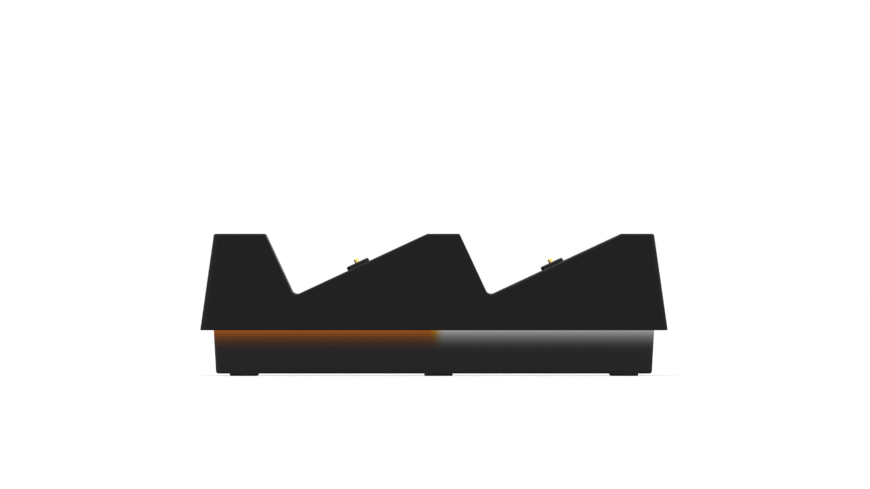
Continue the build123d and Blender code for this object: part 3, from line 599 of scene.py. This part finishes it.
# Screws: zinc-plated steel with pan heads, for the housing, the contact blocks and the main board. The
# plating is bright but a little milky, in patches. Rolled threads bite into the plastic beyond the piece
# that each screw holds.
ZINC_DARK = "#8F9398"
ZINC_LIGHT = "#B9BDC2"
ZINC_FINISH = {"grain": 0.6 * MM, "relief": 0.006 * MM, "roughness": (0.28, 0.48), "Metallic": 1.0}
RAMP_OUT = -np.array(frame["joints"][0]["axis"], float)
# For each screw node: the direction from head to tip, the length without thread, and the pitch.
THREADS = {
    "housing_screws": (UPWARDS, 3.2 * MM, 1.25 * MM),
    "contact_screws": (RAMP_OUT, 4.0 * MM, 0.8 * MM),
    "board_screws": (-UPWARDS, 2.0 * MM, 0.9 * MM),
}
THREAD_RISE = 0.16
THREAD_FOOT = 0.5
THREAD_CREST = 0.1
THREAD_STEPS = 24
THREAD_RUN_OUT = 0.5
ON_SHANK = 0.01 * MM
zinc = grained("zinc_plated_steel", ZINC_DARK, ZINC_LIGHT, **ZINC_FINISH)


def thread(rows, axis, plain, pitch):
    """Ridge wound round a shank: a helix along the axis that starts a plain length above the head.

    The ridge's rise, foot and crest are shares of the pitch, and it sinks into the shank at both ends.
    The axis runs through the middle of the screw's outline, and the tip's distance from it is the radius.
    """
    heights = rows @ axis
    flat = rows - heights[:, None] * axis
    centre = (flat.min(axis=0) + flat.max(axis=0)) / 2
    away = np.linalg.norm(flat - centre, axis=1)
    tip = heights.max()
    radius = away[heights > tip - ON_SHANK].max()
    head = heights[np.abs(away - radius) < ON_SHANK].min()
    turns = (tip - head - plain) / pitch - THREAD_RUN_OUT
    turned = np.linspace(0, turns, int(turns * THREAD_STEPS))
    rise = THREAD_RISE * pitch
    sunk = rise * np.clip(1 - np.minimum(turned, turns - turned) / THREAD_RUN_OUT, 0, 1)
    aside = np.cross(BACKWARDS, axis)
    angle = 2 * np.pi * turned[:, None]
    across = np.cos(angle) * aside + np.sin(angle) * np.cross(axis, aside)
    spine = centre + (head + plain + pitch * turned)[:, None] * axis + (radius - sunk)[:, None] * across
    foot, crest = THREAD_FOOT * pitch / 2, THREAD_CREST * pitch / 2
    profile = np.array([(-rise, -foot), (rise, -crest), (rise, crest), (-rise, foot)])
    return carried(profile, spine, across)


for name, (axis, plain, pitch) in THREADS.items():
    dress(zinc, name)
    ridges = [thread(rows, axis, plain, pitch) for rows in solids(name)]
    new_piece(name.replace("screws", "screw_threads"), ridges, zinc)

# Feet: six round pads of moulded rubber, glued into recesses over the housing screws.
# The rubber is dead matt, with a bloom of paler specks.
# The rubber is set paler than its own near-black, as painted light that makes up for the shade under the
# base.
RUBBER_DARK = "#3E3E3E"
RUBBER_LIGHT = "#4A4A4A"
RUBBER_FINISH = {
    "grain": 0.35 * MM,
    "relief": 0.03 * MM,
    "roughness": (0.75, 0.95),
    "Specular_IOR_Level": 0.2,
}
FEET = [f"foot_{row}_{place}" for row in ("front", "rear") for place in ("left", "middle", "right")]
dress(grained("moulded_rubber", RUBBER_DARK, RUBBER_LIGHT, **RUBBER_FINISH), *FEET)

# Table and room: a pale table in a white room. Seen directly or in a gloss both are white, the table with
# a soft shadow under the dock; to other light they are plain pale paint.
TABLE_HALF = 12.0
TABLE_CORNERS = [(-1, -1, 0), (1, -1, 0), (1, 1, 0), (-1, 1, 0)]
TABLE_PAINT = (0.6, 0.6, 0.6, 1.0)
TABLE_SHEEN = 0.68
TABLE_SHADOWED = (0.3, 0.3, 0.3, 1.0)
TABLE_FADE = (0.3, 1.2)
ROOM_WHITE = (1.0, 1.0, 1.0, 1.0)
ROOM_LIGHT = 0.3


def seen_rays(material):
    """1 for camera, glossy and transmission rays, and 0 for the rest."""
    rays = add_node(material, "ShaderNodeLightPath", {}).outputs
    seen = {0: rays["Is Camera Ray"], 1: rays["Is Glossy Ray"]}
    seen = {0: add_node(material, "ShaderNodeMath", seen, operation="MAXIMUM").outputs[0]}
    seen[1] = rays["Is Transmission Ray"]
    return add_node(material, "ShaderNodeMath", seen, operation="MAXIMUM").outputs[0]


table_mesh = bpy.data.meshes.new("table")
table_mesh.from_pydata((np.array(TABLE_CORNERS) * TABLE_HALF).tolist(), [], [(0, 1, 2, 3)])
table = bpy.data.objects.new("table", table_mesh)
bpy.context.scene.collection.objects.link(table)
table_paint = empty_material("pale_table_paint")
table_mesh.materials.append(table_paint)
plain = add_node(table_paint, "ShaderNodeBsdfDiffuse", {"Color": TABLE_PAINT}).outputs[0]
shadowed = add_node(table_paint, "ShaderNodeBsdfDiffuse", {"Color": TABLE_SHADOWED}).outputs[0]
table_place = add_node(table_paint, "ShaderNodeTexCoord", {}).outputs["Object"]
away = add_node(table_paint, "ShaderNodeVectorMath", {0: table_place}, operation="LENGTH")
whitening = {"Value": away.outputs["Value"], "To Min": TABLE_SHEEN}
whitening |= {"From Min": TABLE_FADE[0], "From Max": TABLE_FADE[1]}
sheen = add_node(table_paint, "ShaderNodeMapRange", whitening).outputs["Result"]
white = add_node(table_paint, "ShaderNodeEmission", {"Color": ROOM_WHITE, "Strength": sheen}).outputs[0]
pale = add_node(table_paint, "ShaderNodeAddShader", {0: white, 1: shadowed}).outputs[0]
choice = {"Fac": seen_rays(table_paint), 1: plain, 2: pale}
surface = add_node(table_paint, "ShaderNodeMixShader", choice).outputs[0]
add_node(table_paint, "ShaderNodeOutputMaterial", {"Surface": surface})

room = bpy.data.worlds.new("white_room")
bpy.context.scene.world = room
room.use_nodes = True
room.node_tree.nodes.clear()
strengths = {"Value": seen_rays(room), "To Min": ROOM_LIGHT}
strength = add_node(room, "ShaderNodeMapRange", strengths).outputs["Result"]
sky = add_node(room, "ShaderNodeBackground", {"Color": ROOM_WHITE, "Strength": strength}).outputs[0]
add_node(room, "ShaderNodeOutputWorld", {"Surface": sky})

# Lamps of the studio: a large soft one overhead, one from the upper left, weaker ones from the right and
# behind, and one at each end, which catch the rounded corners. Each has a place, a width and a power.
LAMPS = {
    "overhead_lamp": ((0.0, 0.3, 1.4), 0.8, 12.0),
    "key_lamp": ((-0.7, -1.0, 1.1), 0.9, 11.0),
    "fill_lamp": ((1.1, -0.9, 0.6), 1.2, 5.0),
    "back_lamp": ((0.3, 1.2, 0.7), 0.9, 3.0),
    "left_lamp": ((-1.3, 0.1, 0.5), 0.8, 2.5),
    "right_lamp": ((1.3, 0.1, 0.5), 0.8, 2.0),
}
LAMP_TARGET = (0.0, 0.0, 0.03)
for name, (place, size, power) in LAMPS.items():
    lamp = bpy.data.lights.new(name, "AREA")
    lamp.size = size
    lamp.energy = power
    holder = bpy.data.objects.new(name, lamp)
    bpy.context.scene.collection.objects.link(holder)
    x, y, z = np.array(LAMP_TARGET) - np.array(place)
    holder.location = place
    holder.rotation_euler = (math.atan2(math.hypot(x, y), -z), 0.0, math.atan2(y, x) - math.pi / 2)

# Camera: square on to the front and level, a long way off, so that the dock's sides hardly converge.
# The picture's size, its scale at the dock's front and the dock's place in it are the photograph's.
PHOTO_WIDTH_PX = 870
PHOTO_HEIGHT_PX = 489
DOCK_MIDDLE_PX = 433.96
TABLE_PX = 376.1
PX_PER_MM = 2.373
CAMERA_DISTANCE = 8.0
FRONT_Y = -31.0 * MM
metres_per_px = MM / PX_PER_MM
camera = bpy.data.cameras.new("camera")
camera.lens = camera.sensor_width * CAMERA_DISTANCE / (PHOTO_WIDTH_PX * metres_per_px)
tripod = bpy.data.objects.new("camera", camera)
bpy.context.scene.collection.objects.link(tripod)
tripod.location = (
    (PHOTO_WIDTH_PX / 2 - DOCK_MIDDLE_PX) * metres_per_px,
    FRONT_Y - CAMERA_DISTANCE,
    (TABLE_PX - PHOTO_HEIGHT_PX / 2) * metres_per_px,
)
tripod.rotation_euler = (math.pi / 2, 0.0, 0.0)
bpy.context.scene.camera = tripod
bpy.context.scene.view_settings.view_transform = "Standard"
